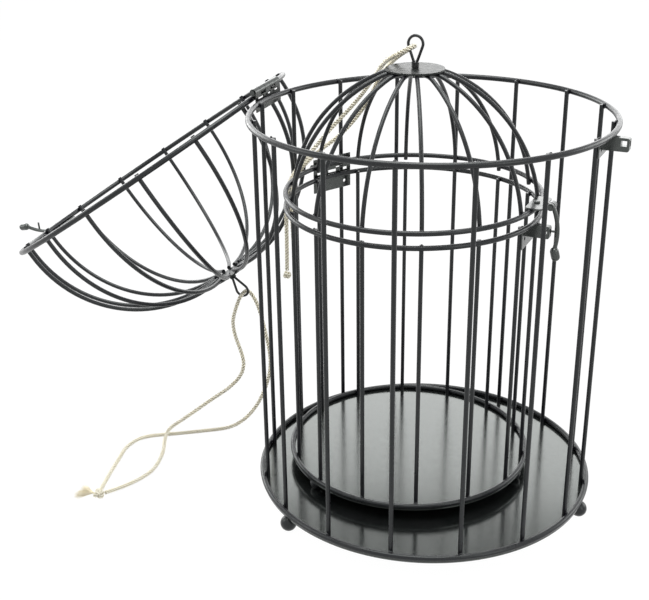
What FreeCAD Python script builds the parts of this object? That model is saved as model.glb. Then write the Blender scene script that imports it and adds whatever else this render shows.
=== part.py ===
import FreeCAD, Part
import math
import os

V = FreeCAD.Vector
os.makedirs("parts", exist_ok=True)

# Frame: +Z up, floor at z = 0, origin on the large cage's axis.
# The latch side of both cages faces -Y and the hinge side faces +Y.

# large cage (mm)
OUTER_RADIUS = 125.0
OUTER_RING_WIRE = 4.0
OUTER_WIRE = 3.2
OUTER_BARS = 16
OUTER_HEIGHT = 276.0
OUTER_BALL = 12.0
OUTER_FOOT_INSET = 1.0
OUTER_LEAF_DROP = 6.5
OUTER_LEAF_RISE = 4.8
OUTER_CAP_RADIUS = 19.0
OUTER_DOME_STRAIGHT = 6.5
OUTER_DOME_ARC = 100.0
OUTER_RIB_END = 14.0
OUTER_NEAR_RIB_SHIFT = 0.0
OUTER_FAR_RIB_SHIFT = 7.0
OUTER_HINGE_TILT = -3.9
OUTER_OPEN = 212.6
OUTER_LEVER_OUT = 55.0

# small cage (mm)
INNER_RADIUS = 91.5
INNER_RING_WIRE = 3.6
INNER_WIRE = 3.0
INNER_BARS = 14
INNER_HEIGHT = 197.6
INNER_BALL = 9.0
INNER_FOOT_INSET = 4.0
INNER_LEAF_DROP = 12.0
INNER_LEAF_RISE = 7.0
INNER_HINGE_GAPS = 1
INNER_CAP_RADIUS = 20.5
INNER_DOME_ARC = 104.3
INNER_DOME_LEAN = 7.3
INNER_DOME_KNEE = 22.0
INNER_DOME_TURN = 20.0
INNER_RIB_END = 12.0
INNER_NEAR_RIB_SHIFT = 0.0
INNER_FAR_RIB_SHIFT = 0.0
INNER_X = 9.5
INNER_Y = 16.0

# shared sheet and wire details (mm)
PLATE = 1.2
PLATE_LIP = 1.0
FLAT = 0.5
WELD_GAP = 0.05
NUB = 0.8
BAR_SHORT = 1.0
RIM_GAP = 10.0

# hinge (mm)
AXIS_UP = 8.0
BARREL = 2.6
LEAF = 0.9
LEAF_WIDTH = 36.0
LEAF_CLEAR = 0.35
KNUCKLES = 5
KNUCKLE_GAP = 0.3
HINGE_PIN = 1.2
PIN_CLEAR = 0.05

# latch (mm), measured outward from the ring and up from the lid ring
PIVOT_OUT = 10.0
PIVOT_UP = 2.0
LATCH_PIN = 1.0
EYE = 2.8
EYE_WIDTH = 3.0
LUG = 2.6
LUG_WIDTH = 2.2
LUG_GAP = 0.35
LATCH_PLATE_LONG = 28.0
LATCH_PLATE_IN = 5.0
LATCH_PLATE_OUT = 6.5
RIVET = 2.3
RIVET_TALL = 1.3
ARM = 1.5
PRONG = 0.8
PRONG_DROP = 16.2
PRONG_TIP = 7.3
BULB = 3.1

# catch (mm), measured outward from the ring and down from the body ring
OUTER_CATCH_TALL = 9.0
INNER_CATCH_TALL = 13.0
CATCH_HOLE = 1.6
CATCH_HOLE_IN = 5.4
EAR_WIDTH = 5.0
EAR_OUT = 10.3
EAR_TOP = 2.6
EAR_BOTTOM = 11.6
WINDOW_IN = 4.8
WINDOW_OUT = 8.6
WINDOW_TOP = 4.4
WINDOW_BOTTOM = 8.0
SLOT_WIDTH = 2.8

# loop on the cap (mm)
COLLAR = 2.25
COLLAR_TALL = 4.5
LOOP_WIRE = 2.0
LOOP_RADIUS = 5.4
LOOP_TALL = 23.0
LOOP_NECK = 0.9

# rope (mm)
ROPE = 3.0


def save(name, shapes):
    shape = shapes[0] if len(shapes) == 1 else Part.makeCompound(shapes)
    shape.exportStep("parts/" + name + ".step")
    print(name, len(shape.Solids), round(shape.Volume, 1), shape.isValid())


def rod(start, end, radius):
    axis = end - start
    return Part.makeCylinder(radius, axis.Length, start, axis)


def x_rod(x0, x1, y, z, radius):
    return Part.makeCylinder(radius, x1 - x0, V(x0, y, z), V(1, 0, 0))


def block(x0, x1, y0, y1, z0, z1):
    return Part.makeBox(x1 - x0, y1 - y0, z1 - z0, V(x0, y0, z0))


def around_z(shape, degrees):
    turned = shape.copy()
    turned.rotate(V(0, 0, 0), V(0, 0, 1), degrees)
    return turned


def tube(wire, start, direction, radius):
    section = Part.Wire([Part.makeCircle(radius, start, direction)])
    return wire.makePipeShell([section], True, True)


class Cage:
    """Sizes of one cage, in its own frame with its floor at z = 0."""

    def __init__(self, radius, ring_wire, wire, bars, height, ball, drop, rise):
        self.r = radius
        self.ring = ring_wire / 2
        self.wire = wire / 2
        self.bars = bars
        self.pitch = 360.0 / bars
        self.ball = ball / 2
        self.plate_z = ball - 2 * FLAT
        self.base_z = self.plate_z + PLATE + self.ring
        self.body_z = self.base_z + height
        self.lid_z = self.body_z + RIM_GAP
        self.bar_r = radius - self.ring - self.wire - WELD_GAP
        self.axis_y = radius + self.ring + WELD_GAP + BARREL
        self.axis_z = self.body_z + AXIS_UP
        self.pivot_y = -(radius + PIVOT_OUT)
        self.pivot_z = self.lid_z + PIVOT_UP
        self.drop = drop
        self.rise = rise


def torus(cage, z):
    return Part.makeTorus(cage.r, cage.ring, V(0, 0, z))


def base_plate(cage):
    return Part.makeCylinder(cage.r + PLATE_LIP, PLATE, V(0, 0, cage.plate_z))


def feet(cage, inset):
    radius = cage.r - inset
    ball = Part.makeSphere(cage.ball, V(0, -radius, cage.ball - FLAT))
    room = block(-20, 20, -radius - 20, -radius + 20, 0, cage.plate_z)
    foot = ball.common(room)
    return [around_z(foot, 120.0 * k) for k in range(3)]


def uprights(cage):
    bottom = V(0, -cage.bar_r, cage.plate_z + PLATE)
    top = V(0, -cage.bar_r, cage.body_z + cage.ring - BAR_SHORT)
    bar = rod(bottom, top, cage.wire)
    return [around_z(bar, cage.pitch * (k + 0.5)) for k in range(cage.bars)]


def outer_rib_path(cage):
    low = cage.lid_z - cage.ring - NUB
    knee = cage.lid_z + OUTER_DOME_STRAIGHT
    centre = cage.bar_r - OUTER_DOME_ARC
    half = OUTER_DOME_ARC * math.sqrt(0.5)
    p0 = V(0, -cage.bar_r, low)
    p1 = V(0, -cage.bar_r, knee)
    p2 = V(0, -(centre + half), knee + half)
    p3 = V(0, -centre, knee + OUTER_DOME_ARC)
    p4 = V(0, -OUTER_RIB_END, knee + OUTER_DOME_ARC)
    edges = [Part.LineSegment(p0, p1), Part.Arc(p1, p2, p3), Part.LineSegment(p3, p4)]
    return Part.Wire([e.toShape() for e in edges]), p0, p1 - p0, p4.z


def inner_rib_path(cage):
    """A leaning arc, then a short turn to level under the cap."""
    low = -cage.ring - NUB
    lean = math.radians(INNER_DOME_LEAN)
    knee = math.radians(INNER_DOME_KNEE)
    cy = cage.bar_r - INNER_DOME_ARC * math.cos(lean)
    cz = -INNER_DOME_ARC * math.sin(lean)

    def on_arc(a):
        return V(0, -(cy + INNER_DOME_ARC * math.cos(a)), cage.lid_z + cz + INNER_DOME_ARC * math.sin(a))

    a0 = math.asin((low - cz) / INNER_DOME_ARC)
    a1 = math.pi / 2 - knee
    p0 = on_arc(a0)
    p1 = on_arc((a0 + a1) / 2)
    p2 = on_arc(a1)
    ty = -p2.y - INNER_DOME_TURN * math.sin(knee)
    tz = p2.z - INNER_DOME_TURN * math.cos(knee)
    p3 = V(0, -(ty + INNER_DOME_TURN * math.sin(knee / 2)), tz + INNER_DOME_TURN * math.cos(knee / 2))
    p4 = V(0, -ty, tz + INNER_DOME_TURN)
    p5 = V(0, -INNER_RIB_END, p4.z)
    edges = [Part.Arc(p0, p1, p2), Part.Arc(p2, p3, p4), Part.LineSegment(p4, p5)]
    start = V(0, math.sin(a0), math.cos(a0))
    return Part.Wire([e.toShape() for e in edges]), p0, start, p4.z


def ribs(cage, path, near_shift, far_shift):
    """Equal pitch, but the two beside the hinge are set in so that they pass between the uprights."""
    wire, start, direction, top = path
    rib = tube(wire, start, direction, cage.wire)
    angles = [cage.pitch * (k + 0.5) for k in range(cage.bars)]
    angles[cage.bars // 2 - 1] += far_shift
    angles[cage.bars // 2] -= near_shift
    return [around_z(rib, a) for a in angles]


def cap(radius, z):
    return Part.makeCylinder(radius, PLATE, V(0, 0, z))


def loop(z):
    """Teardrop of wire standing in a collar; its plane holds the Y and Z axes."""
    cz = LOOP_TALL - LOOP_WIRE / 2 - LOOP_RADIUS
    foot = COLLAR_TALL - 1.0
    reach = math.hypot(LOOP_NECK, cz - foot)
    a = math.atan2(foot - cz, LOOP_NECK) + math.acos(LOOP_RADIUS / reach)
    tangent_y = LOOP_RADIUS * math.cos(a)
    tangent_z = z + cz + LOOP_RADIUS * math.sin(a)
    p0 = V(0, LOOP_NECK, z + foot)
    p1 = V(0, tangent_y, tangent_z)
    p2 = V(0, 0, z + cz + LOOP_RADIUS)
    p3 = V(0, -tangent_y, tangent_z)
    p4 = V(0, -LOOP_NECK, z + foot)
    edges = [Part.LineSegment(p0, p1), Part.Arc(p1, p2, p3), Part.LineSegment(p3, p4)]
    wire = Part.Wire([e.toShape() for e in edges])
    collar = Part.makeCylinder(COLLAR, COLLAR_TALL, V(0, 0, z))
    return collar.fuse(tube(wire, p0, p1 - p0, LOOP_WIRE / 2)).removeSplitter()


def knuckle_span(k):
    step = LEAF_WIDTH / KNUCKLES
    x0 = -LEAF_WIDTH / 2 + k * step
    return x0 + KNUCKLE_GAP / 2, x0 + step - KNUCKLE_GAP / 2


def hinge_leaf(cage, own, z0, z1, tab0, tab1):
    inner = cage.axis_y - BARREL
    leaf = block(-LEAF_WIDTH / 2, LEAF_WIDTH / 2, inner, inner + LEAF, z0, z1)
    for k in own:
        x0, x1 = knuckle_span(k)
        leaf = leaf.fuse(block(x0, x1, inner, inner + LEAF, tab0, tab1))
        leaf = leaf.fuse(x_rod(x0, x1, cage.axis_y, cage.axis_z, BARREL))
    bore = x_rod(-LEAF_WIDTH, LEAF_WIDTH, cage.axis_y, cage.axis_z, HINGE_PIN + PIN_CLEAR)
    return leaf.cut(bore)


def body_leaf(cage):
    top = cage.axis_z - BARREL - LEAF_CLEAR
    low = cage.body_z - cage.drop
    leaf = hinge_leaf(cage, (0, 2, 4), low, top, top, cage.axis_z)
    y0 = cage.axis_y - BARREL - 1
    for x in (-10.8, 0.0, 10.8):
        leaf = leaf.cut(block(x - 4, x + 4, y0, y0 + 4, cage.body_z + 2.3, cage.body_z + 4.4))
    for x in (-12.0, 12.0):
        z = cage.body_z - cage.ring - (cage.drop - cage.ring) / 2
        leaf = leaf.cut(Part.makeCylinder(1.3, 6, V(x, y0, z), V(0, 1, 0)))
    return leaf.removeSplitter()


def lid_leaf(cage):
    low = cage.axis_z + BARREL + LEAF_CLEAR
    leaf = hinge_leaf(cage, (1, 3), low, cage.axis_z + cage.rise, cage.axis_z, low)
    return leaf.removeSplitter()


def hinge_pin(cage):
    half = LEAF_WIDTH / 2
    pin = x_rod(-half - 0.9, half + 0.9, cage.axis_y, cage.axis_z, HINGE_PIN)
    for x in (-half - 0.9, half + 0.1):
        pin = pin.fuse(x_rod(x, x + 0.8, cage.axis_y, cage.axis_z, HINGE_PIN + 0.6))
    return pin.removeSplitter()


def catch(cage, tall):
    half = math.radians(cage.pitch / 2)
    x = cage.bar_r * math.sin(half) + cage.wire
    back = -(cage.bar_r * math.cos(half) + cage.wire + WELD_GAP)
    front = back - LEAF
    top = cage.body_z - cage.ring - 0.3
    plate = block(-x, x, front, back, top - tall, top)
    for s in (-1, 1):
        hole = Part.makeCylinder(CATCH_HOLE, 8, V(s * (x - CATCH_HOLE_IN), front - 4, top - tall / 2), V(0, 1, 0))
        plate = plate.cut(hole)
    z = cage.body_z
    w = EAR_WIDTH / 2
    ear = block(-w, w, -(cage.r + EAR_OUT), back, z - EAR_BOTTOM, z - EAR_TOP)
    outer = [e for e in ear.Edges if abs(e.CenterOfMass.y + cage.r + EAR_OUT) < 0.01 and e.Length == EAR_WIDTH]
    ear = ear.makeFillet(1.6, outer)
    ear = ear.cut(block(-9, 9, -(cage.r + WINDOW_OUT), -(cage.r + WINDOW_IN), z - WINDOW_BOTTOM, z - WINDOW_TOP))
    s = SLOT_WIDTH / 2
    ear = ear.cut(block(-s, s, -(cage.r + EAR_OUT + 1), -(cage.r + WINDOW_IN), z - WINDOW_BOTTOM, z - WINDOW_TOP))
    return plate.fuse(ear).removeSplitter()


def latch_plate(cage):
    low = cage.lid_z + cage.ring + WELD_GAP
    half = LATCH_PLATE_LONG / 2
    plate = block(-half, half, -(cage.r + LATCH_PLATE_OUT), -(cage.r - LATCH_PLATE_IN), low, low + PLATE)
    upright = [e for e in plate.Edges if abs(e.Length - PLATE) < 1e-6]
    plate = plate.makeFillet(2.5, upright)
    for s in (-1, 1):
        x0 = s * (EYE_WIDTH / 2 + LUG_GAP)
        x1 = x0 + s * LUG_WIDTH
        a, b = min(x0, x1), max(x0, x1)
        plate = plate.fuse(block(a, b, cage.pivot_y, -(cage.r + LATCH_PLATE_OUT) + 1, low, low + PLATE))
        plate = plate.fuse(x_rod(a, b, cage.pivot_y, cage.pivot_z, LUG))
    bore = x_rod(-20, 20, cage.pivot_y, cage.pivot_z, LATCH_PIN + PIN_CLEAR)
    return plate.cut(bore).removeSplitter()


def latch_rivet(cage):
    z = cage.lid_z + cage.ring + WELD_GAP + PLATE
    head = Part.makeCylinder(RIVET, RIVET_TALL, V(0, -(cage.r - 0.5), z))
    rim = [e for e in head.Edges if abs(e.CenterOfMass.z - z - RIVET_TALL) < 1e-6]
    return head.makeFillet(0.8, rim)


def latch_pin(cage):
    half = EYE_WIDTH / 2 + LUG_GAP + LUG_WIDTH
    pin = x_rod(-half - 0.8, half + 0.8, cage.pivot_y, cage.pivot_z, LATCH_PIN)
    for x in (-half - 0.8, half + 0.1):
        pin = pin.fuse(x_rod(x, x + 0.7, cage.pivot_y, cage.pivot_z, LATCH_PIN + 0.6))
    return pin.removeSplitter()


def lever(cage):
    """Bowed arm with an eye, a prong that reaches into the ear, and a bulb to pull on."""

    def at(out, up):
        return V(0, -(cage.r + out), cage.lid_z + up)

    eye = x_rod(-EYE_WIDTH / 2, EYE_WIDTH / 2, cage.pivot_y, cage.pivot_z, EYE)
    p0 = at(11.4, 0.4)
    p1 = at(14.8, -12.0)
    p2 = at(13.9, -28.5)
    arc = Part.Arc(p0, p1, p2)
    arm = tube(Part.Wire([arc.toShape()]), p0, arc.tangent(arc.FirstParameter)[0], ARM)
    prong = rod(at(14.6, -PRONG_DROP), at(PRONG_TIP, -PRONG_DROP), PRONG)
    b0 = at(14.0, -30.6)
    b1 = at(15.0, -34.4)
    bulb = rod(b0, b1, BULB).fuse(Part.makeSphere(BULB, b0)).fuse(Part.makeSphere(BULB, b1))
    body = eye.fuse(arm).fuse(prong).fuse(bulb)
    bore = x_rod(-9, 9, cage.pivot_y, cage.pivot_z, LATCH_PIN + PIN_CLEAR)
    return body.cut(bore).removeSplitter()


def rope(points, radius):
    """Straight runs joined by tangent arcs."""
    edges = []
    radii = []
    last = points[0]
    for a, b, c in zip(points, points[1:], points[2:]):
        u = (b - a).normalize()
        w = (c - b).normalize()
        turn = u.getAngle(w)
        cut = 0.45 * min((b - a).Length, (c - b).Length)
        bend = cut / math.tan(turn / 2)
        start = b - u * cut
        end = b + w * cut
        inward = (w - u).normalize()
        centre = b + inward * (bend / math.cos(turn / 2))
        middle = centre - inward * bend
        edges.append(Part.LineSegment(last, start).toShape())
        edges.append(Part.Arc(start, middle, end).toShape())
        radii.append(round(bend, 1))
        last = end
    edges.append(Part.LineSegment(last, points[-1]).toShape())
    wire = Part.Wire(edges)
    shape = tube(wire, points[0], points[1] - points[0], radius)
    share = shape.Volume / (math.pi * radius ** 2 * wire.Length)
    print("rope bends", radii, "length", round(wire.Length, 1), "volume share", round(share, 4))
    return shape


# the two cages
big = Cage(OUTER_RADIUS, OUTER_RING_WIRE, OUTER_WIRE, OUTER_BARS, OUTER_HEIGHT, OUTER_BALL, OUTER_LEAF_DROP,
           OUTER_LEAF_RISE)
small = Cage(INNER_RADIUS, INNER_RING_WIRE, INNER_WIRE, INNER_BARS, INNER_HEIGHT, INNER_BALL, INNER_LEAF_DROP,
             INNER_LEAF_RISE)
inner_floor = big.plate_z + PLATE
inner_place = V(INNER_X, INNER_Y, inner_floor)


def stand(shapes):
    moved = [s.copy() for s in shapes]
    for s in moved:
        s.translate(inner_place)
    return moved


hinge_point = V(0, big.axis_y, big.axis_z)
hinge_line = FreeCAD.Rotation(V(0, 1, 0), OUTER_HINGE_TILT).multVec(V(-1, 0, 0))


def aslant(shape):
    """The large hinge sits a little out of level on its ring."""
    turned = shape.copy()
    turned.rotate(hinge_point, V(0, 1, 0), OUTER_HINGE_TILT)
    return turned


def beside(shape):
    """The small hinge sits in the next gap between uprights, not straight across from the latch."""
    return around_z(shape, -small.pitch * INNER_HINGE_GAPS)


def swing_out(shapes):
    """Turn closed lid pieces to where the open lid hangs."""
    moved = [s.copy() for s in shapes]
    for s in moved:
        s.rotate(hinge_point, hinge_line, OUTER_OPEN)
    return moved


# large cage, standing
save("outer_base_plate", [base_plate(big)])
save("outer_base_ring", [torus(big, big.base_z)])
for i, foot in enumerate(feet(big, OUTER_FOOT_INSET)):
    save("outer_foot_%d" % (i + 1), [foot])
for i, bar in enumerate(uprights(big)):
    save("outer_upright_%02d" % (i + 1), [bar])
save("outer_body_ring", [torus(big, big.body_z)])
save("outer_hinge_leaf", [aslant(body_leaf(big))])
save("outer_hinge_pin", [aslant(hinge_pin(big))])
save("outer_catch", [catch(big, OUTER_CATCH_TALL)])

# large lid, swung over
outer_path = outer_rib_path(big)
outer_cap_z = outer_path[3] + big.wire + WELD_GAP
save("outer_lid_ring", swing_out([torus(big, big.lid_z)]))
outer_ribs = ribs(big, outer_path, OUTER_NEAR_RIB_SHIFT, OUTER_FAR_RIB_SHIFT)
save("outer_lid_ribs", swing_out(outer_ribs))
save("outer_lid_cap", swing_out([cap(OUTER_CAP_RADIUS, outer_cap_z)]))
save("outer_lid_loop", swing_out([loop(outer_cap_z + PLATE)]))
save("outer_lid_leaf", swing_out([aslant(lid_leaf(big))]))
save("outer_latch_plate", swing_out([latch_plate(big)]))
save("outer_latch_rivet", swing_out([latch_rivet(big)]))
save("outer_latch_pin", swing_out([latch_pin(big)]))
loose = lever(big)
loose.rotate(V(0, big.pivot_y, big.pivot_z), V(1, 0, 0), -OUTER_LEVER_OUT)
save("outer_latch_lever", swing_out([loose]))

# small cage, standing in the large one
save("inner_base_plate", stand([base_plate(small)]))
save("inner_base_ring", stand([torus(small, small.base_z)]))
save("inner_feet", stand(feet(small, INNER_FOOT_INSET)))
save("inner_uprights", stand(uprights(small)))
save("inner_body_ring", stand([torus(small, small.body_z)]))
save("inner_hinge_leaf", stand([beside(body_leaf(small))]))
save("inner_hinge_pin", stand([beside(hinge_pin(small))]))
save("inner_catch", stand([catch(small, INNER_CATCH_TALL)]))

# small lid, closed and latched
inner_path = inner_rib_path(small)
inner_cap_z = inner_path[3] + small.wire + WELD_GAP
save("inner_lid_ring", stand([torus(small, small.lid_z)]))
save("inner_lid_ribs", stand(ribs(small, inner_path, INNER_NEAR_RIB_SHIFT, INNER_FAR_RIB_SHIFT)))
save("inner_lid_cap", stand([cap(INNER_CAP_RADIUS, inner_cap_z)]))
save("inner_lid_loop", stand([loop(inner_cap_z + PLATE)]))
save("inner_lid_leaf", stand([beside(lid_leaf(small))]))
save("inner_latch_plate", stand([latch_plate(small)]))
save("inner_latch_rivet", stand([latch_rivet(small)]))
save("inner_latch_pin", stand([latch_pin(small)]))
save("inner_latch_lever", stand([lever(small)]))

# large rope: two strands from inside the loop's tip down to one knot on the floor
tip = V(0, 0, outer_cap_z + PLATE + LOOP_TALL - LOOP_WIRE - ROPE / 2 - 0.3)
turn = FreeCAD.Rotation(hinge_line, OUTER_OPEN)
hang = hinge_point + turn.multVec(tip - hinge_point)
across = turn.multVec(V(1, 0, 0))
print("large rope hangs at", hang, "across", across, "axis", hinge_point, hinge_line)
knot_at = V(-134.5, 212.4, 4.7)
strand_a = [hang - across * 0.1, hang - across * 6.6, V(12.5, 172, 108.5), V(10, 174.5, 97), V(8.1, 171.5, 85)]
strand_a += [V(7.5, 166.3, 73.6), V(6.3, 162.5, 62.5), V(2.8, 163.7, 52.5), V(-4, 172, 42), V(-13, 186, 31.6)]
strand_a += [V(-21, 198, 21.5), V(-27, 207.5, 14), V(-34, 215.5, 8), V(-45, 212.5, 4.4), V(-57, 205.3, 1.7)]
strand_a += [V(-80, 197, 1.7), V(-95, 197, 1.7), V(-109, 201.5, 1.7), V(-121, 206, 2.5), V(-130.3, 209.4, 3.9)]
strand_b = [hang + across * 0.1, hang + across * 6.6, V(29, 162, 110.5), V(26.5, 155.5, 96.5), V(24.5, 151, 82)]
strand_b += [V(23.5, 147.6, 68), V(21.2, 146.2, 53), V(17, 149, 37.5), V(11.4, 155, 21.5), V(5.7, 164, 9)]
strand_b += [V(-1, 174.7, 1.7), V(-12, 188, 1.7), V(-30.7, 213.5, 1.7), V(-42, 230.5, 1.7), V(-52, 236.5, 1.7)]
strand_b += [V(-67, 237, 1.7), V(-86, 230.5, 1.7), V(-106, 224.5, 1.7), V(-120, 219, 2.5), V(-129.9, 214.7, 4.0)]
save("outer_rope_a", [rope(strand_a, ROPE / 2)])
save("outer_rope_b", [rope(strand_b, ROPE / 2)])
save("outer_rope_knot", [Part.makeSphere(4.6, knot_at)])
tuft_axis = V(-0.6, 12, -1.2)
tuft_root = knot_at + V(-0.2, 4.8, -0.9)
save("outer_rope_tuft", [Part.makeCone(1.6, 2.5, tuft_axis.Length, tuft_root, tuft_axis)])

# small rope: two strands round the left leg of the loop, over the back of the dome and down beside the rings
grip = inner_place + V(0, LOOP_RADIUS - LOOP_WIRE / 2 - ROPE / 2 - 1.1, inner_cap_z + PLATE + 14.5)
print("small rope grips at", grip)
side_a = [grip - V(0.1, 0, 0), grip - V(6.2, 0, 0), V(2.5, 26.5, 328.5), V(10, 36.5, 323), V(22, 46, 316.2)]
side_a += [V(33, 55, 307.5), V(41.5, 64.7, 297), V(46.2, 75, 285), V(45, 85.3, 273), V(39.3, 94, 262.8)]
side_a += [V(32, 100.8, 253), V(25, 105.3, 245.3), V(18.5, 109.4, 238.5), V(10.5, 112, 233), V(1, 112, 228)]
side_a += [V(-5.5, 111, 220), V(-8.5, 110.3, 209), V(-9.4, 110.1, 195), V(-9.8, 110, 180), V(-10.9, 109.9, 160.8)]
side_b = [grip + V(0.1, 0, 0), grip + V(6.2, 0, 0), V(18, 26.5, 328), V(23, 36, 321.7), V(31, 45, 314.2)]
side_b += [V(40.2, 54.2, 305.6), V(49, 63.3, 295), V(55.5, 71.5, 283.5), V(57, 79, 273)]
side_b += [V(54, 86.8, 262.2), V(47.5, 95.3, 252.2), V(38.5, 102.7, 245), V(29, 108.6, 238.4), V(19.5, 112, 232.3)]
side_b += [V(10.5, 112.6, 226), V(5, 112.5, 217), V(3, 112, 204), V(3, 111.5, 187), V(4.4, 111, 160), V(5, 110.6, 130)]
save("inner_rope_a", [rope(side_a, ROPE / 2)])
save("inner_rope_b", [rope(side_b, ROPE / 2)])
save("inner_rope_knot", [Part.makeSphere(3.2, V(-11, 109.9, 157))])

print("levels", big.base_z, big.body_z, big.lid_z, small.base_z + inner_floor, small.body_z + inner_floor)
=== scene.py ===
# %% [markdown]
# Two round birdcage card boxes of painted wire, one inside the other. The CAD model is the frame: its wires,
# rings, plates and hinges already have their true shape, so this file adds what CAD leaves out, which is the
# rope, the welds, the wire wraps and the finishes.

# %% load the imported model
import math
import random
import bpy
from mathutils import Matrix, Vector


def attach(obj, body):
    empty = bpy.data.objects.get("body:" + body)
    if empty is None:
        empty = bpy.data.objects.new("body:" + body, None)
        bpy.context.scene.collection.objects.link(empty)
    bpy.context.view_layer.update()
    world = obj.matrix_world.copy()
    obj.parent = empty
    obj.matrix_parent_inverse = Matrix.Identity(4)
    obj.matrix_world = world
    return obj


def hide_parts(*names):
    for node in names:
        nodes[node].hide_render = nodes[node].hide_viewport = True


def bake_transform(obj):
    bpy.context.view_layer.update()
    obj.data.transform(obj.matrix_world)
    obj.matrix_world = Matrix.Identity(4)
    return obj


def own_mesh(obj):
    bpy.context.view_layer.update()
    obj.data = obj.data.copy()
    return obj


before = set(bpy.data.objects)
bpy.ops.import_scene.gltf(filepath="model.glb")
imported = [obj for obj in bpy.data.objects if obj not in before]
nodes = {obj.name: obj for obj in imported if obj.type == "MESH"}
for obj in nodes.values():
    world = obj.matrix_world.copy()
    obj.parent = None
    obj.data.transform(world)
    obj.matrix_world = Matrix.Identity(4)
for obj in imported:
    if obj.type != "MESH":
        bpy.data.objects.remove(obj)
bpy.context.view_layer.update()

# %% [markdown]
# The camera stands where the photograph was taken from. Its place was found by fitting the rings, the uprights
# and the open lid to the picture, in a frame that faces the lens, so it is turned back to the object's axes here.

# %% camera
VIEW_TURN = math.radians(67.197)
LENS_AT = Vector((-0.0254, -0.7359, 0.4710))
YAW, PITCH, ROLL = math.radians(-3.856), math.radians(23.486), math.radians(-0.907)
FOCAL_PIXELS, PHOTO_WIDTH = 1088.3, 649
SENSOR = 36.0


def add(name, data):
    """Makes an object from a mesh, curve, light or camera and links it to the scene."""
    made = bpy.data.objects.new(name, data)
    bpy.context.collection.objects.link(made)
    return made


ahead = Vector((math.sin(YAW) * math.cos(PITCH), math.cos(YAW) * math.cos(PITCH), -math.sin(PITCH)))
level = Vector((math.cos(YAW), -math.sin(YAW), 0))
over = level.cross(ahead)
right = math.cos(ROLL) * level + math.sin(ROLL) * over
above = -math.sin(ROLL) * level + math.cos(ROLL) * over
axes = Matrix((right, above, -ahead)).transposed().to_4x4()
camera = add("camera", bpy.data.cameras.new("camera"))
camera.data.sensor_width = SENSOR
camera.data.lens = FOCAL_PIXELS * SENSOR / PHOTO_WIDTH
camera.matrix_world = Matrix.Rotation(-VIEW_TURN, 4, "Z") @ Matrix.Translation(LENS_AT) @ axes
bpy.context.scene.camera = camera
print("camera at", tuple(round(c, 3) for c in camera.matrix_world.translation))

# %% [markdown]
# Paint, rope and floor are all node materials. Small helpers keep the wiring short: an input that is given another
# node's output is linked, and any other is set. Each finish below then reads as a list of what it is made of.

# %% material helpers
MIX_SHARE, MIX_FIRST, MIX_SECOND, MIX_RESULT = 0, 6, 7, 2  # the colour sockets of the Mix node
NOISE_SPAN = (0.3, 0.7)  # where most of a noise lies


def new_finish(name):
    mat = bpy.data.materials.new(name)
    mat.use_nodes = True
    return mat, mat.node_tree, mat.node_tree.nodes["Principled BSDF"]


def fill(tree, made, inputs):
    for key, value in inputs.items():
        if hasattr(value, "links"):
            tree.links.new(value, made.inputs[key])
        else:
            made.inputs[key].default_value = value


def node(tree, kind, inputs=None, **settings):
    made = tree.nodes.new(kind)
    for key, value in settings.items():
        setattr(made, key, value)
    fill(tree, made, inputs or {})
    return made


def first(tree, kind, inputs=None, **settings):
    """A node of which only the first output is used."""
    return node(tree, kind, inputs, **settings).outputs[0]


def maths(tree, operation, a, b):
    return first(tree, "ShaderNodeMath", {0: a, 1: b}, operation=operation)


def remap(tree, value, source, target=(0.0, 1.0)):
    limits = {"From Min": source[0], "From Max": source[1], "To Min": target[0], "To Max": target[1]}
    return first(tree, "ShaderNodeMapRange", {"Value": value, **limits})


def noise(tree, scale, detail=3.0, place=None):
    if place is None:
        place = node(tree, "ShaderNodeTexCoord").outputs["Object"]
    inputs = {"Vector": place, "Scale": scale, "Detail": detail}
    return node(tree, "ShaderNodeTexNoise", inputs).outputs["Fac"]


def tint(tree, share, low, high):
    """Mixes two colours. Each is a triple or another node's output."""
    low, high = [(*colour, 1) if isinstance(colour, tuple) else colour for colour in (low, high)]
    inputs = {MIX_SHARE: share, MIX_FIRST: low, MIX_SECOND: high}
    return node(tree, "ShaderNodeMix", inputs, data_type="RGBA").outputs[MIX_RESULT]


def bumps(tree, height, depth):
    return first(tree, "ShaderNodeBump", {"Height": height, "Distance": depth, "Strength": 1.0})


print("material helpers ready")

# %% [markdown]
# The wire is dipped in black paint, which pools and thins a little. Three noises do that: a broad one shifts the
# colour between a deeper and a greyer black, a middle one changes the gloss, and a fine one gives orange peel. The
# plates are the glossiest, then hinges and latches, then the wire, and the small caps are the dullest.

# %% black paint for wire, hardware, plates and caps
BROAD, MIDDLE, FINE = 60.0, 350.0, 1400.0
FINE_DETAIL = 2.0
SPECULAR_TINT = (0.92, 1.0, 0.95, 1)
COAT_ROUGHNESS = 0.10


def black_paint(name, dark, light, gloss, peel, specular, index, coat):
    mat, tree, shader = new_finish(name)
    fill(tree, shader, {
        "Base Color": tint(tree, remap(tree, noise(tree, BROAD), NOISE_SPAN), dark, light),
        "Roughness": remap(tree, noise(tree, MIDDLE), NOISE_SPAN, gloss),
        "Normal": bumps(tree, noise(tree, FINE, FINE_DETAIL), peel),
        "Specular IOR Level": specular, "IOR": index, "Specular Tint": SPECULAR_TINT,
        "Coat Weight": coat, "Coat Roughness": COAT_ROUGHNESS})
    return mat


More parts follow.
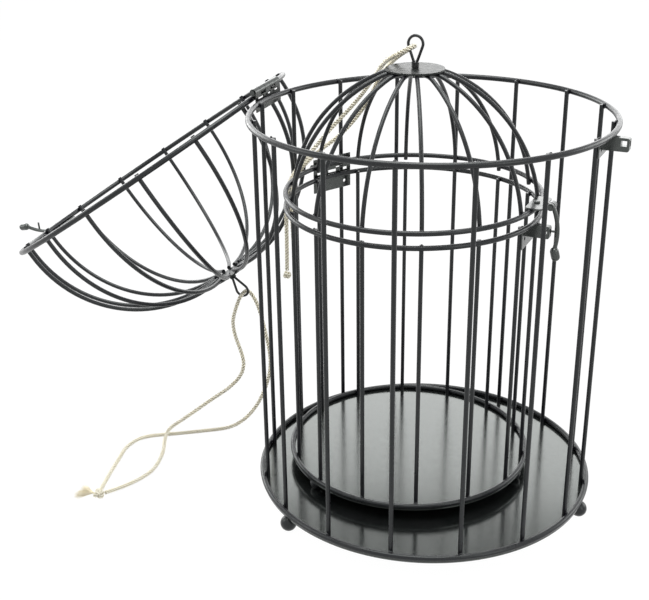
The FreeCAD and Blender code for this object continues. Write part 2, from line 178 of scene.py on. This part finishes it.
wire_paint = black_paint("wire_paint", (0.005, 0.005, 0.008), (0.012, 0.011, 0.014),
                         gloss=(0.24, 0.38), peel=0.00005, specular=0.36, index=1.5, coat=0.10)
hardware_paint = black_paint("hardware_paint", (0.006, 0.007, 0.007), (0.016, 0.017, 0.017),
                             gloss=(0.18, 0.30), peel=0.00002, specular=0.5, index=1.7, coat=0.25)
plate_paint = black_paint("plate_paint", (0.005, 0.006, 0.006), (0.010, 0.011, 0.011),
                          gloss=(0.12, 0.20), peel=0.00002, specular=0.5, index=1.8, coat=0.3)
cap_paint = black_paint("cap_paint", (0.005, 0.006, 0.006), (0.010, 0.011, 0.011),
                        gloss=(0.34, 0.44), peel=0.00002, specular=0.4, index=1.5, coat=0.0)
print("paints", wire_paint.name, hardware_paint.name, plate_paint.name, cap_paint.name)

# %% [markdown]
# Each CAD node comes with a material slot, so painting is a choice by name. Plates, caps and hardware are known by
# words in their names, and what is left is wire. The rope nodes are replaced further on and get no paint.

# %% put the paint on the CAD nodes
HARDWARE_WORDS = ("hinge", "leaf", "latch", "catch")


def paint_for(name):
    if name.endswith("base_plate"):
        return plate_paint
    if name.endswith("lid_cap"):
        return cap_paint
    if any(word in name for word in HARDWARE_WORDS):
        return hardware_paint
    return wire_paint


painted = [name for name in nodes if "rope" not in name]
for name in painted:
    for place in nodes[name].material_slots:
        place.material = paint_for(name)
print("painted", len(painted))

# %% [markdown]
# The rope is natural fibre in a three-strand twist. Its colour runs from straw to cream, with fine streaks along the
# yarn, and painted shade darkens the grooves between strands. An image would need unwrapping, so the rope mesh
# carries
# three numbers instead: how far along and around a point lies, and how proud of the core. A mesh without them shows
# the colour of the painted groove shade, so the pale finish of the frayed fibres has a pale one, with no shade in
# it.

# %% rope fibre
STREAKS, STREAK_DETAIL = 9.0, 4.0
PATCHES = 120.0
FIBRE_SPAN = (0.7, 1.3)  # of streaks and patches added up
# Painted shade in the grooves between strands fades out towards the crown over this span.
GROOVE_SHADE_TO_CROWN = (0.34, 0.52)  # in rope diameters from the core
FIBRE_RELIEF = 0.0002


def carried(tree, name):
    return node(tree, "ShaderNodeAttribute", attribute_name=name).outputs["Fac"]


def rope_fibre(name, groove_shade, dark, light):
    mat, tree, shader = new_finish(name)
    place = first(tree, "ShaderNodeCombineXYZ", {"X": carried(tree, "along"), "Y": carried(tree, "around")})
    streak = noise(tree, STREAKS, STREAK_DETAIL, place)
    share = remap(tree, maths(tree, "ADD", streak, noise(tree, PATCHES)), FIBRE_SPAN)
    # Painted shade: the grooves between strands take the dark groove colour, which fades to the fibre colour at the
    # crowns.
    shade_free_share = remap(tree, carried(tree, "proud"), GROOVE_SHADE_TO_CROWN)
    fill(tree, shader, {
        "Base Color": tint(tree, shade_free_share, groove_shade, tint(tree, share, dark, light)),
        "Normal": bumps(tree, streak, FIBRE_RELIEF), "Roughness": 0.85, "Sheen Weight": 0.3})
    return mat


# The first colour of each finish is the painted groove shade. The pale finish's one is pale, so the frayed fibres
# carry no shade.
rope_straw = rope_fibre("rope_straw", (0.46, 0.39, 0.23), (0.90, 0.85, 0.67), (0.97, 0.95, 0.84))
rope_pale = rope_fibre("rope_pale", (0.90, 0.84, 0.66), (0.86, 0.79, 0.60), (0.95, 0.92, 0.80))
print("rope finishes", rope_straw.name, rope_pale.name)

# %% [markdown]
# Rope, welds and wraps are drawn by Geometry Nodes trees, which keep their sizes as inputs. Each tree runs on a
# throwaway object, and what it draws is kept as a plain mesh.

# %% tree helpers
def new_tree(name, inputs):
    tree = bpy.data.node_groups.new(name, "GeometryNodeTree")
    tree.interface.new_socket("Geometry", in_out="INPUT", socket_type="NodeSocketGeometry")
    for label, kind in inputs.items():
        tree.interface.new_socket(label, in_out="INPUT", socket_type="NodeSocket" + kind)
    tree.interface.new_socket("Geometry", in_out="OUTPUT", socket_type="NodeSocketGeometry")
    return tree, tree.nodes.new("NodeGroupInput").outputs, tree.nodes.new("NodeGroupOutput").inputs


def random_vector(tree, low, high, seed):
    inputs = {0: low, 1: high, "Seed": seed}
    return first(tree, "FunctionNodeRandomValue", inputs, data_type="FLOAT_VECTOR")


def deliver(tree, geometry, material, out):
    dressed = first(tree, "GeometryNodeSetMaterial", {"Geometry": geometry, "Material": material})
    tree.links.new(dressed, out["Geometry"])
    return tree


def evaluated_mesh(thing):
    bpy.context.view_layer.update()
    depsgraph = bpy.context.evaluated_depsgraph_get()
    return bpy.data.meshes.new_from_object(thing.evaluated_get(depsgraph), depsgraph=depsgraph)


def make_plain(source, tree, values, name):
    """Runs a tree on an object with these inputs and returns the result as a plain mesh object."""
    made = source.modifiers.new("tree", "NODES")
    made.node_group = tree
    ids = {item.name: item.identifier for item in tree.interface.items_tree if item.in_out == "INPUT"}
    for key, value in values.items():
        made[ids[key]] = value
    mesh = evaluated_mesh(source)
    bpy.data.objects.remove(source)
    mesh.name = name
    return add(name, mesh)


print("tree helpers ready")

# %% [markdown]
# A rope could be three separate helices, but one sweep is shorter: the route's curve is resampled, its tilt grows
# with length, and three circles are swept along it, so the tilt itself lays the twist. Several hundred loose fibres
# stand out of the surface.

# %% rope tree
STRAND_RADIUS, STRAND_OFFSET = 0.30, 0.27  # in rope diameters
STRAND_SIDES = 10
ALONG_UNITS, AROUND_UNITS = 60.0, 9.0  # streak noise per metre and per turn
HAIR = {"Vertices": 3, "Radius Bottom": 0.00006, "Radius Top": 0.00001, "Depth": 0.0016}
HAIR_LEAN, HAIR_SPIN = 1.2, 6.28
# Hairs are marked as lying past the crown, so that no painted groove shade falls on them.
HAIR_PROUD = 0.6  # past the crown, so that hairs stay pale


def stored(tree, geometry, name, value):
    """Writes a number on every point, for the rope's finish to read."""
    inputs = {"Geometry": geometry, "Name": name, "Value": value}
    return first(tree, "GeometryNodeStoreNamedAttribute", inputs, data_type="FLOAT", domain="POINT")


def rope_section(tree, diameter):
    ring = {"Resolution": STRAND_SIDES, "Radius": maths(tree, "MULTIPLY", diameter, STRAND_RADIUS)}
    circle = first(tree, "GeometryNodeCurvePrimitiveCircle", ring, mode="RADIUS")
    turn = node(tree, "GeometryNodeSplineParameter").outputs["Factor"]
    strand = stored(tree, circle, "around", maths(tree, "MULTIPLY", turn, AROUND_UNITS))
    offset = maths(tree, "MULTIPLY", diameter, STRAND_OFFSET)
    centres = first(tree, "GeometryNodeMeshCircle", {"Vertices": 3, "Radius": offset})
    bundle = first(tree, "GeometryNodeInstanceOnPoints", {"Points": centres, "Instance": strand})
    section = first(tree, "GeometryNodeRealizeInstances", {"Geometry": bundle})
    place = first(tree, "GeometryNodeInputPosition")
    from_core = node(tree, "ShaderNodeVectorMath", {0: place}, operation="LENGTH").outputs["Value"]
    return stored(tree, section, "proud", maths(tree, "DIVIDE", from_core, diameter))


def rope_hairs(tree, surface, density):
    scatter = {"Mesh": surface, "Density": density, "Seed": 7}
    roots = node(tree, "GeometryNodeDistributePointsOnFaces", scatter).outputs
    hair = stored(tree, first(tree, "GeometryNodeMeshCone", HAIR), "proud", HAIR_PROUD)
    lean = random_vector(tree, (-HAIR_LEAN, -HAIR_LEAN, 0), (HAIR_LEAN, HAIR_LEAN, HAIR_SPIN), 11)
    turned = first(tree, "FunctionNodeRotateRotation", {"Rotation": roots["Rotation"], "Rotate By": lean},
                   rotation_space="LOCAL")
    return first(tree, "GeometryNodeInstanceOnPoints", {"Points": roots[0], "Instance": hair, "Rotation": turned})


def rope_tree():
    tree, size, out = new_tree("twisted_rope", {"Diameter": "Float", "Lay": "Float", "Step": "Float",
                                                "Fuzz": "Float", "Fibre": "Material"})
    even = first(tree, "GeometryNodeResampleCurve", {"Curve": size["Geometry"], "Length": size["Step"]},
                 mode="LENGTH")
    run = node(tree, "GeometryNodeSplineParameter").outputs["Length"]
    twist = maths(tree, "MULTIPLY", maths(tree, "DIVIDE", run, size["Lay"]), 2 * math.pi)
    tilted = first(tree, "GeometryNodeSetCurveTilt", {"Curve": even, "Tilt": twist})
    marked = stored(tree, tilted, "along", maths(tree, "MULTIPLY", run, ALONG_UNITS))
    section = rope_section(tree, size["Diameter"])
    swept = first(tree, "GeometryNodeCurveToMesh", {"Curve": marked, "Profile Curve": section, "Fill Caps": True})
    smooth = first(tree, "GeometryNodeSetShadeSmooth", {"Geometry": swept})
    joined = node(tree, "GeometryNodeJoinGeometry")
    tree.links.new(rope_hairs(tree, smooth, size["Fuzz"]), joined.inputs[0])
    tree.links.new(smooth, joined.inputs[0])
    real = first(tree, "GeometryNodeRealizeInstances", {"Geometry": joined.outputs[0]})
    return deliver(tree, real, size["Fibre"], out)


twisted_rope = rope_tree()
print("rope tree", len(twisted_rope.nodes), "nodes")

# %% [markdown]
# Each strand follows the route points of its CAD tube, in millimetres, as the control points of one smooth NURBS
# spline. Four points of inner_rope_b lie about a millimetre nearer the dome than the tube's, so that the strand
# clears an upright when the small lid opens. The strands start inside the loops on the caps. The large rope falls
# to the floor, where both strands end in one knot.

# %% rope routes
HANG = Vector((21.073, 168.700, 119.641))
ACROSS = Vector((0.99148, 0.03664, 0.12502))
NEAR, WIDE = 0.1, 6.6  # the large rope's first points, to either side of its loop
GRIP_Y, GRIP_Z = 17.8, 332.959  # where the small rope passes through its loop
routes = {
    "outer_rope_a": [
        HANG - ACROSS * NEAR, HANG - ACROSS * WIDE, (12.5, 172, 108.5), (10, 174.5, 97), (8.1, 171.5, 85),
        (7.5, 166.3, 73.6), (6.3, 162.5, 62.5), (2.8, 163.7, 52.5), (-4, 172, 42), (-13, 186, 31.6),
        (-21, 198, 21.5), (-27, 207.5, 14), (-34, 215.5, 8), (-45, 212.5, 4.4), (-57, 205.3, 1.7),
        (-80, 197, 1.7), (-95, 197, 1.7), (-109, 201.5, 1.7), (-121, 206, 2.5), (-130.3, 209.4, 3.9)],
    "outer_rope_b": [
        HANG + ACROSS * NEAR, HANG + ACROSS * WIDE, (29, 162, 110.5), (26.5, 155.5, 96.5), (24.5, 151, 82),
        (23.5, 147.6, 68), (21.2, 146.2, 53), (17, 149, 37.5), (11.4, 155, 21.5), (5.7, 164, 9),
        (-1, 174.7, 1.7), (-12, 188, 1.7), (-30.7, 213.5, 1.7), (-42, 230.5, 1.7), (-52, 236.5, 1.7),
        (-67, 237, 1.7), (-86, 230.5, 1.7), (-106, 224.5, 1.7), (-120, 219, 2.5), (-129.9, 214.7, 4.0)],
    "inner_rope_a": [
        (9.4, GRIP_Y, GRIP_Z), (3.3, GRIP_Y, GRIP_Z), (2.5, 26.5, 328.5), (10, 36.5, 323), (22, 46, 316.2),
        (33, 55, 307.5), (41.5, 64.7, 297), (46.2, 75, 285), (45, 85.3, 273), (39.3, 94, 262.8),
        (32, 100.8, 253), (25, 105.3, 245.3), (18.5, 109.4, 238.5), (10.5, 112, 233), (1, 112, 228),
        (-5.5, 111, 220), (-8.5, 110.3, 209), (-9.4, 110.1, 195), (-9.8, 110, 180), (-10.9, 109.9, 160.8)],
    "inner_rope_b": [
        (9.6, GRIP_Y, GRIP_Z), (15.7, GRIP_Y, GRIP_Z), (18, 26.5, 328), (23, 36, 321.7), (31, 45, 314.2),
        (40.2, 54.2, 305.6), (49, 63.3, 295), (54.9, 70.8, 282.7), (56.3, 78.1, 272.3), (53.3, 85.8, 261.6),
        (47, 94.3, 251.7), (38.5, 102.7, 245), (29, 108.6, 238.4), (19.5, 112, 232.3), (10.5, 112.6, 226),
        (5, 112.5, 217), (3, 112, 204), (3, 111.5, 187), (4.4, 111, 160), (5, 110.6, 130)],
}
ORDER, RESOLUTION = 3, 12


def curve_line(name, points, kind="NURBS", cyclic=False):
    """A curve object: NURBS for a smooth route, POLY for the plain line of points that it gives."""
    curve = bpy.data.curves.new(name, "CURVE")
    curve.dimensions = "3D"
    line = curve.splines.new(kind)
    line.points.add(len(points) - 1)
    for control, point in zip(line.points, points):
        control.co = (*point, 1)
    line.use_cyclic_u = cyclic
    if kind == "NURBS":
        line.order_u = ORDER
        line.use_endpoint_u = not cyclic
        line.resolution_u = RESOLUTION
    return add(name, curve)


def followed(name, points):
    """The points of the smooth line along a route given in millimetres."""
    route = curve_line(name + "_route", [Vector(point) / 1000 for point in points])
    mesh = evaluated_mesh(route)
    line = [vertex.co.copy() for vertex in mesh.vertices]
    bpy.data.meshes.remove(mesh)
    bpy.data.objects.remove(route)
    return line


paths = {name: followed(name, points) for name, points in routes.items()}


def length_of(name):
    return sum((b - a).length for a, b in zip(paths[name], paths[name][1:]))


print("routes", {name: round(length_of(name), 4) for name in paths})

# %% [markdown]
# Now the tree sweeps the twist along each route. The rope is 3 mm thick. A short lay, the length of one full turn,
# makes the slanted pattern of the strands easy to see.

# %% rope strands
ROPE = 0.003
LAY = 0.0072
ROPE_STEP, ROPE_FUZZ = 0.0007, 160000.0  # fuzz is in fibres per square metre


def twisted(name, line, diameter, step, fuzz):
    sizes = {"Diameter": diameter, "Lay": LAY, "Step": step, "Fuzz": fuzz, "Fibre": rope_straw}
    return make_plain(line, twisted_rope, sizes, name)


strands = {}
for name, points in paths.items():
    line = curve_line(name + "_line", points, kind="POLY")
    strands[name] = twisted(name + "_twist", line, ROPE, ROPE_STEP, ROPE_FUZZ)
    print(name, "faces", len(strands[name].data.polygons))

# %% [markdown]
# A knot in a cord is the cord itself, so the same tree is run on a small closed trefoil, the line that an overhand
# knot draws when it is pulled tight.

# %% knots
KNOT_POINTS = 24
KNOT_ROPE, KNOT_STEP, KNOT_FUZZ = 0.0028, 0.0006, 260000.0


def trefoil(centre, size, lift):
    points = []
    for i in range(KNOT_POINTS):
        t = 2 * math.pi * i / KNOT_POINTS
        flat = Vector((math.sin(t) + 2 * math.sin(2 * t), math.cos(t) - 2 * math.cos(2 * t), 0)) * size
        points.append(centre + flat + Vector((0, 0, -math.sin(3 * t) * lift)))
    return points


def knot(name, centre, size, lift):
    line = curve_line(name + "_line", trefoil(Vector(centre), size, lift), cyclic=True)
    return twisted(name, line, KNOT_ROPE, KNOT_STEP, KNOT_FUZZ)


outer_knot = knot("outer_rope_tied", (-0.1345, 0.2124, 0.0046), size=0.00112, lift=0.0017)
inner_knot = knot("inner_rope_tied", (-0.0110, 0.1099, 0.1570), size=0.00068, lift=0.0012)
print("knots", [len(tied.data.polygons) for tied in (outer_knot, inner_knot)])

# %% [markdown]
# Beyond the large knot the cut end has frayed into a fan of pale fibres. They could be hair curves. Here each fibre
# is a thin three-sided tube, bent and spread by seeded random numbers, so that the mesh itself holds it.

# %% frayed tuft
FIBRE_RINGS, FIBRE_SIDES = 6, 3
FIBRE_TURN = 2.0944  # a third of a circle, from side to side
FIBRE_RADIUS, FIBRE_TAPER = 0.00016, 0.6
FAN_CURVE, FAN_HEIGHT = 1.4, 0.45  # how late the fan opens, and its height as a share of its width
SAG, LOWEST = 0.0012, 0.0003


def fibre_fan(name, root, axis, count, length, width, seed):
    """Thin fibres that leave one root and spread into a flat fan."""
    pick = random.Random(seed)
    up = Vector((0, 0, 1))
    side = axis.cross(up).normalized()
    verts, faces = [], []
    for _ in range(count):
        sway = pick.uniform(-1, 1)
        rise = pick.uniform(-0.6, 0.9)
        reach = length * pick.uniform(0.75, 1.05)
        start = len(verts)
        for k in range(FIBRE_RINGS):
            t = k / (FIBRE_RINGS - 1)
            mid = root + axis * (reach * t) + side * (sway * width * t ** FAN_CURVE)
            mid += up * (rise * width * FAN_HEIGHT * t - SAG * t * t)
            mid.z = max(mid.z, LOWEST)
            thick = FIBRE_RADIUS * (1 - FIBRE_TAPER * t)
            for a in range(FIBRE_SIDES):
                turn = a * FIBRE_TURN
                verts.append(mid + side * (math.cos(turn) * thick) + up * (math.sin(turn) * thick))
        for k in range(FIBRE_RINGS - 1):
            for a in range(FIBRE_SIDES):
                row = start + FIBRE_SIDES * k
                i, j = row + a, row + (a + 1) % FIBRE_SIDES
                faces.append((i, j, j + FIBRE_SIDES, i + FIBRE_SIDES))
    mesh = bpy.data.meshes.new(name)
    mesh.from_pydata([tuple(v) for v in verts], [], faces)
    mesh.materials.append(rope_pale)
    return add(name, mesh)


tuft_axis = Vector((-0.05, 1.0, -0.1)).normalized()
outer_tuft = fibre_fan("outer_rope_frayed", Vector((-0.1346, 0.2159, 0.0042)), tuft_axis,
                       count=260, length=0.0155, width=0.0078, seed=3)
print("tuft faces", len(outer_tuft.data.polygons))

# %% [markdown]
# Each strand is a free cord. The CAD rope tubes are hidden, and the large rope's strands, knot and tuft go with the
# large lid.
# The small rope's strands keep their place, and its knot goes with the small cage.

for piece, solid in ((strands["outer_rope_a"], "outer_rope_a"), (strands["outer_rope_b"], "outer_rope_b"),
                     (outer_knot, "outer_rope_knot"), (outer_tuft, "outer_rope_tuft")):
    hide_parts(solid)
    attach(piece, "outer_lid")
    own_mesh(piece)
for name in ("inner_rope_a", "inner_rope_b"):
    strand = strands[name]
    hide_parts(name)
    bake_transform(strand)
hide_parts("inner_rope_knot")
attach(inner_knot, "inner_cage")

print("cords declared", len(strands))

# %% [markdown]
# Where a bar meets a ring, a spot weld leaves a small bead in the angle. The beads repeat round a circle, so a tree
# places them: one bead on each point of a ring, once above and once below the ring's middle. On the large lid one
# bar stands a little to the side of its place, and its beads are turned with it.

# %% weld tree
BEAD_SUBDIVISIONS = 3
SMALLEST_BEAD, LARGEST_BEAD = (0.8, 0.8, 0.8), (1.2, 1.2, 1.3)


def weld_tree():
    tree, size, out = new_tree("weld_beads", {"Count": "Int", "Radius": "Float", "Height": "Float", "Bead": "Float",
                                              "Last Turn": "Float", "Paint": "Material"})
    circle = first(tree, "GeometryNodeMeshCircle", {"Vertices": size["Count"], "Radius": size["Radius"]})
    ends = {"A": first(tree, "GeometryNodeInputIndex"), "B": maths(tree, "SUBTRACT", size["Count"], 1.0)}
    last = first(tree, "FunctionNodeCompare", ends, data_type="INT", operation="EQUAL")
    turn = {"Vector": first(tree, "GeometryNodeInputPosition"), "Angle": size["Last Turn"]}
    set_in = first(tree, "ShaderNodeVectorRotate", turn, rotation_type="Z_AXIS")
    ring = first(tree, "GeometryNodeSetPosition", {"Geometry": circle, "Selection": last, "Position": set_in})
    bead = first(tree, "GeometryNodeMeshIcoSphere", {"Radius": size["Bead"], "Subdivisions": BEAD_SUBDIVISIONS})
    jitter = random_vector(tree, SMALLEST_BEAD, LARGEST_BEAD, 5)
    joined = node(tree, "GeometryNodeJoinGeometry")
    for side in (-1.0, 1.0):
        height = maths(tree, "ADD", size["Height"], maths(tree, "MULTIPLY", size["Bead"], side))
        lift = first(tree, "ShaderNodeCombineXYZ", {"Z": height})
        moved = first(tree, "GeometryNodeSetPosition", {"Geometry": ring, "Offset": lift})
        beads = first(tree, "GeometryNodeInstanceOnPoints", {"Points": moved, "Instance": bead, "Scale": jitter})
        tree.links.new(beads, joined.inputs[0])
    real = first(tree, "GeometryNodeRealizeInstances", {"Geometry": joined.outputs[0]})
    smooth = first(tree, "GeometryNodeSetShadeSmooth", {"Geometry": real})
    return deliver(tree, smooth, size["Paint"], out)


weld_beads = weld_tree()
print("weld tree", len(weld_beads.nodes), "nodes")

# %% [markdown]
# Each ring is drawn round the upright axis, as in a closed cage. The large lid's ring is then swung open about its
# slanted hinge, and the small cage's rings are moved to where it stands.

# %% weld beads
HINGE_AT = Vector((0, 0.12965, 0.2982))
HINGE_LINE = Matrix.Rotation(math.radians(-3.9), 3, "Y") @ Vector((-1, 0, 0))
LID_OPEN = math.radians(212.6)
swing = Matrix.Translation(HINGE_AT) @ Matrix.Rotation(LID_OPEN, 4, HINGE_LINE) @ Matrix.Translation(-HINGE_AT)
INNER_AT = Matrix.Translation((0.0095, 0.016, 0.0))
OUTER_RING = {"Count": 16, "Radius": 0.1230, "Bead": 0.0011}
INNER_RING = {"Count": 14, "Radius": 0.0897, "Bead": 0.0010}
SET_IN = math.radians(7.0)


def empty_mesh(name):
    return add(name, bpy.data.meshes.new(name))


def welds(name, body, ring, height, place, last_turn=0.0):
    sizes = {**ring, "Height": height, "Last Turn": last_turn, "Paint": wire_paint}
    piece = make_plain(empty_mesh(name + "_seed"), weld_beads, sizes, name)
    half_gap = math.pi / ring["Count"]
    piece.data.transform(place @ Matrix.Rotation(math.pi / 2 + half_gap, 4, "Z"))
    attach(piece, body)
    print(name, ring["Count"], "joints,", len(piece.data.polygons), "faces")


still = Matrix.Identity(4)
welds("outer_top_welds", "outer_cage", OUTER_RING, 0.2902, still)
welds("outer_base_welds", "outer_cage", OUTER_RING, 0.0142, still)
welds("outer_lid_welds", "outer_lid", OUTER_RING, 0.3002, swing, last_turn=SET_IN)
welds("inner_top_welds", "inner_cage", INNER_RING, 0.2208, INNER_AT)
welds("inner_base_welds", "inner_cage", INNER_RING, 0.0232, INNER_AT)
welds("inner_lid_welds", "inner_lid", INNER_RING, 0.2308, INNER_AT)

# %% [markdown]
# The neck of each loop is bound with a few turns of thin wire. Blender's spiral node draws the turns, and a circle
# is swept along them.

# %% wire wraps
WRAP = {"Turns": 4.0, "Radius": 0.0023, "Rise": 0.0036, "Wire": 0.0005}
COIL_STEPS, WRAP_SIDES = 28, 10


def wrap_tree():
    tree, size, out = new_tree("wire_wrap", {"Turns": "Float", "Radius": "Float", "Rise": "Float", "Wire": "Float",
                                             "Paint": "Material"})
    coil = first(tree, "GeometryNodeCurveSpiral", {
        "Resolution": COIL_STEPS, "Rotations": size["Turns"], "Start Radius": size["Radius"],
        "End Radius": size["Radius"], "Height": size["Rise"]})
    ring = {"Resolution": WRAP_SIDES, "Radius": size["Wire"]}
    section = first(tree, "GeometryNodeCurvePrimitiveCircle", ring, mode="RADIUS")
    swept = first(tree, "GeometryNodeCurveToMesh", {"Curve": coil, "Profile Curve": section, "Fill Caps": True})
    smooth = first(tree, "GeometryNodeSetShadeSmooth", {"Geometry": swept})
    return deliver(tree, smooth, size["Paint"], out)


wire_wrap = wrap_tree()


def neck_wrap(name, body, height, place):
    piece = make_plain(empty_mesh(name + "_seed"), wire_wrap, {**WRAP, "Paint": wire_paint}, name)
    piece.data.transform(place @ Matrix.Translation((0, 0, height)))
    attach(piece, body)
    print(name, len(piece.data.polygons), "faces")


neck_wrap("outer_neck_wrap", "outer_lid", 0.4101, swing)
neck_wrap("inner_neck_wrap", "inner_lid", 0.3191, INNER_AT)

# %% [markdown]
# The object stands on a white sweep. More light would wash out the black paint, so the white of the picture comes
# from the floor's own colour as the lens sees it. A share of the floor stays matt there, to take a soft shadow.

# %% floor
FLOOR_GREY, FLOOR_GLOW = 0.82, 1.04
GLOW_SHARE = 0.95
FLOOR_REACH = 12


def seen_rays(tree):
    """1 for a ray that the lens or a reflection sends out, and 0 for one that only carries light."""
    rays = node(tree, "ShaderNodeLightPath").outputs
    direct = maths(tree, "MAXIMUM", rays["Is Camera Ray"], rays["Is Glossy Ray"])
    return maths(tree, "MAXIMUM", direct, rays["Is Transmission Ray"])


def white_floor():
    mat, tree, shader = new_finish("white_floor")
    tree.nodes.remove(shader)
    matt = first(tree, "ShaderNodeBsdfDiffuse", {"Color": (FLOOR_GREY, FLOOR_GREY, FLOOR_GREY, 1)})
    glow = first(tree, "ShaderNodeEmission", {"Color": (1, 1, 1, 1), "Strength": FLOOR_GLOW})
    share = maths(tree, "MULTIPLY", seen_rays(tree), GLOW_SHARE)
    mixed = first(tree, "ShaderNodeMixShader", {0: share, 1: matt, 2: glow})
    tree.links.new(mixed, tree.nodes["Material Output"].inputs["Surface"])
    return mat


corners = [(x * FLOOR_REACH, y * FLOOR_REACH, 0) for x, y in ((-1, -1), (1, -1), (1, 1), (-1, 1))]
floor_mesh = bpy.data.meshes.new("floor")
floor_mesh.from_pydata(corners, [], [(0, 1, 2, 3)])
floor_mesh.materials.append(white_floor())
floor = add("floor", floor_mesh)
print("floor ready")

# %% [markdown]
# Black paint shows its shape by what it mirrors. A broad panel behind gives the plates their sheen, two more behind
# the sides draw pale ends on the rings, and the panels overhead and at the sides line the wires. The sky is white to
# the lens and in reflections, but lights the object less.

# %% world and lights
SKY_FILL = 0.35

world = bpy.data.worlds.new("studio")
world.use_nodes = True
sky = world.node_tree
brightness = remap(sky, seen_rays(sky), (0.0, 1.0), (SKY_FILL, 1.0))
fill(sky, sky.nodes["Background"], {"Strength": brightness, "Color": (1, 1, 1, 1)})
bpy.context.scene.world = world


def panel(name, place, target, size, power):
    lamp = bpy.data.lights.new(name, "AREA")
    lamp.shape = "RECTANGLE"
    lamp.size, lamp.size_y = size
    lamp.energy = power
    made = add(name, lamp)
    made.location = place
    made.visible_camera = False
    made.rotation_euler = (Vector(target) - Vector(place)).to_track_quat("-Z", "Y").to_euler()


panel("behind", (1.40, 0.54, 0.62), target=(0, 0.05, 0.30), size=(2.6, 0.8), power=13.0)
panel("overhead", (0.00, 0.05, 1.25), target=(0, 0.05, 0.2), size=(0.9, 0.8), power=13.0)
panel("behind_left", (0.55, 1.60, 0.65), target=(0, 0.05, 0.25), size=(1.0, 0.9), power=11.0)
panel("behind_right", (1.15, -1.20, 0.65), target=(0, 0.05, 0.25), size=(1.0, 0.9), power=10.0)
panel("left", (-0.7, 1.3, 0.9), target=(0, 0.05, 0.2), size=(0.5, 1.1), power=5.0)
panel("right", (-0.6, -1.3, 0.8), target=(0, 0.0, 0.2), size=(0.5, 1.1), power=4.0)
bpy.context.scene.view_settings.view_transform = "Standard"
print("lights", len(bpy.data.lights))
